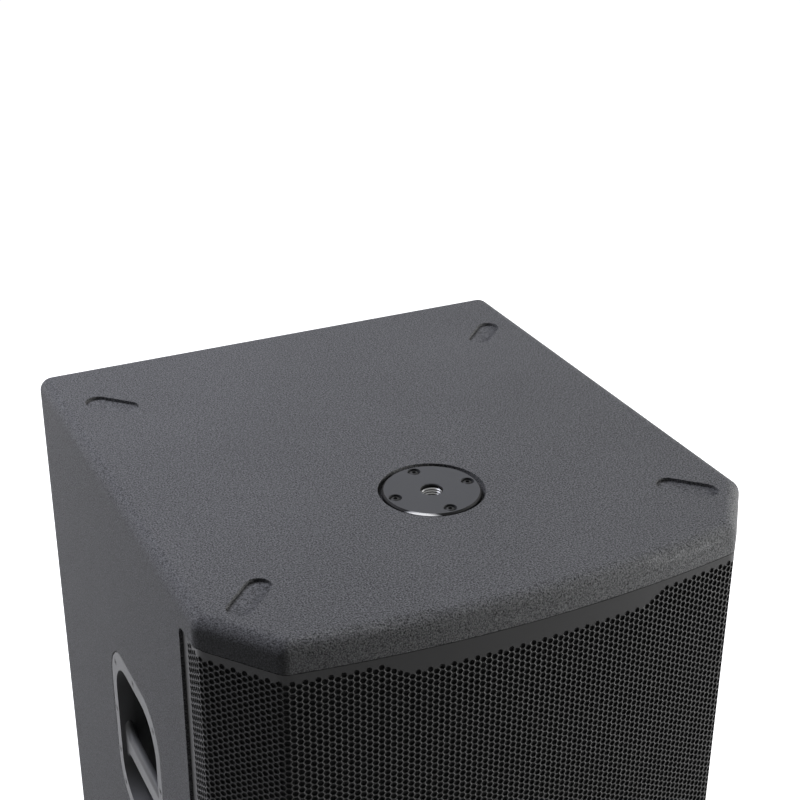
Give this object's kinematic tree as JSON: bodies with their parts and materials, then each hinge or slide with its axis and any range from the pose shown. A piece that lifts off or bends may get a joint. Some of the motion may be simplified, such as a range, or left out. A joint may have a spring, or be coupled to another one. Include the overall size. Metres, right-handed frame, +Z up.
{
  "type": "pa speaker cabinet",
  "caption": "Powered PA bass speaker cabinet: textured box with bowed wrap-round grille, recessed bar handles, threaded pole socket and stacking recesses.",
  "frame": {"origin": "middle of the footprint box, on the plane that the rubber feet stand on", "axes": "+Z up, front (grille) faces -Y, +X to the right seen from the front"},
  "size_m": [0.535, 0.585, 0.627],
  "materials": {
    "cabinet_coating": "matte",
    "birch_ply": "matte",
    "foot_rubber": "matte",
    "black_screws": "satin",
    "socket_steel": "satin",
    "bare_steel": "satin",
    "grille_steel": "satin",
    "grille_foam": "matte",
    "handle_plastic": "matte",
    "gasket_foam": "matte",
    "cast_basket": "satin",
    "ferrite": "matte",
    "cone_paper": "matte",
    "coil_copper": "satin",
    "surround_rubber": "matte",
    "spider_cloth": "matte",
    "terminal_plastic": "matte",
    "amp_coating": "matte",
    "heatsink_aluminium": "satin",
    "can_steel": "satin",
    "circuit_board": "satin",
    "transformer_tape": "satin",
    "lead_jacket": "satin",
    "knob_plastic": "satin",
    "lamp_lens": "gloss",
    "jack_shell": "satin",
    "latch_metal": "gloss"
  },
  "bodies": {
    "cabinet": {"top_panel": "cabinet_coating", "bottom_panel": "cabinet_coating", "left_side_panel": "cabinet_coating", "right_side_panel": "cabinet_coating", "rear_panel": "cabinet_coating", "top_front_rail": "cabinet_coating", "bottom_front_rail": "cabinet_coating", "front_baffle": "birch_ply", "port_shelf": "birch_ply", "port_divider": "birch_ply", "cross_brace": "birch_ply", "rubber_feet": "foot_rubber", "feet_screws": "black_screws", "pole_plate_screws": "black_screws", "grille_screws": "black_screws", "handle_screws": "black_screws", "woofer_screws": "black_screws", "amp_screws": "black_screws", "pole_plate": "socket_steel", "pole_plate_backing": "bare_steel", "woofer_front_plate": "bare_steel", "woofer_back_plate": "bare_steel", "grille": "grille_steel", "grille_foam": "grille_foam", "left_handle_frame": "handle_plastic", "right_handle_frame": "handle_plastic", "left_handle_dish": "handle_plastic", "right_handle_dish": "handle_plastic", "handle_gaskets": "gasket_foam", "woofer_gasket": "gasket_foam", "amp_gasket": "gasket_foam", "woofer_basket": "cast_basket", "woofer_magnet": "ferrite", "woofer_surround": "surround_rubber", "woofer_spider": "spider_cloth", "woofer_terminal": "terminal_plastic", "power_switch_housing": "terminal_plastic", "mains_inlet": "terminal_plastic", "potentiometers": "terminal_plastic", "push_switches": "terminal_plastic", "amp_panel": "amp_coating", "amp_heatsink": "heatsink_aluminium", "amp_can": "can_steel", "amp_board": "circuit_board", "amp_transformer": "transformer_tape", "speaker_lead": "lead_jacket", "status_lamps": "lamp_lens", "input_jack_a": "jack_shell", "input_jack_b": "jack_shell", "output_jacks": "jack_shell"},
    "cone_assembly": {"woofer_cone": "cone_paper", "dust_cap": "cone_paper", "voice_coil": "coil_copper"},
    "level_knob_body": {"level_knob": "knob_plastic"},
    "crossover_knob_body": {"crossover_knob": "knob_plastic"},
    "polarity_button_body": {"polarity_button": "knob_plastic"},
    "ground_lift_button_body": {"ground_lift_button": "knob_plastic"},
    "power_rocker_body": {"power_rocker": "knob_plastic"},
    "input_latch_a_body": {"input_latch_a": "latch_metal"},
    "input_latch_b_body": {"input_latch_b": "latch_metal"}
  },
  "joints": [
    {"name": "cone_travel", "type": "slide", "parent": "cabinet", "child": "cone_assembly", "axis": [0, -1, 0], "range_m": [-0.008, 0.008], "stiffness_N_per_m": 6000},
    {"name": "level_knob_turn", "type": "hinge", "parent": "cabinet", "child": "level_knob_body", "pos_m": [-0.062, 0.2655, 0.296], "axis": [0, -1, 0], "range_deg": [-150, 150]},
    {"name": "crossover_knob_turn", "type": "hinge", "parent": "cabinet", "child": "crossover_knob_body", "pos_m": [-0.018, 0.2655, 0.296], "axis": [0, -1, 0], "range_deg": [-150, 150]},
    {"name": "polarity_button_press", "type": "slide", "parent": "cabinet", "child": "polarity_button_body", "axis": [0, -1, 0], "range_m": [0, 0.002], "stiffness_N_per_m": 400},
    {"name": "ground_lift_button_press", "type": "slide", "parent": "cabinet", "child": "ground_lift_button_body", "axis": [0, -1, 0], "range_m": [0, 0.002], "stiffness_N_per_m": 400},
    {"name": "input_latch_a_press", "type": "slide", "parent": "cabinet", "child": "input_latch_a_body", "axis": [0, -1, 0], "range_m": [0, 0.0018], "stiffness_N_per_m": 400},
    {"name": "input_latch_b_press", "type": "slide", "parent": "cabinet", "child": "input_latch_b_body", "axis": [0, -1, 0], "range_m": [0, 0.0018], "stiffness_N_per_m": 400},
    {"name": "power_rocker_tilt", "type": "hinge", "parent": "cabinet", "child": "power_rocker_body", "pos_m": [0.018, 0.263, 0.186], "axis": [1, 0, 0], "range_deg": [0, 20]}
  ]
}
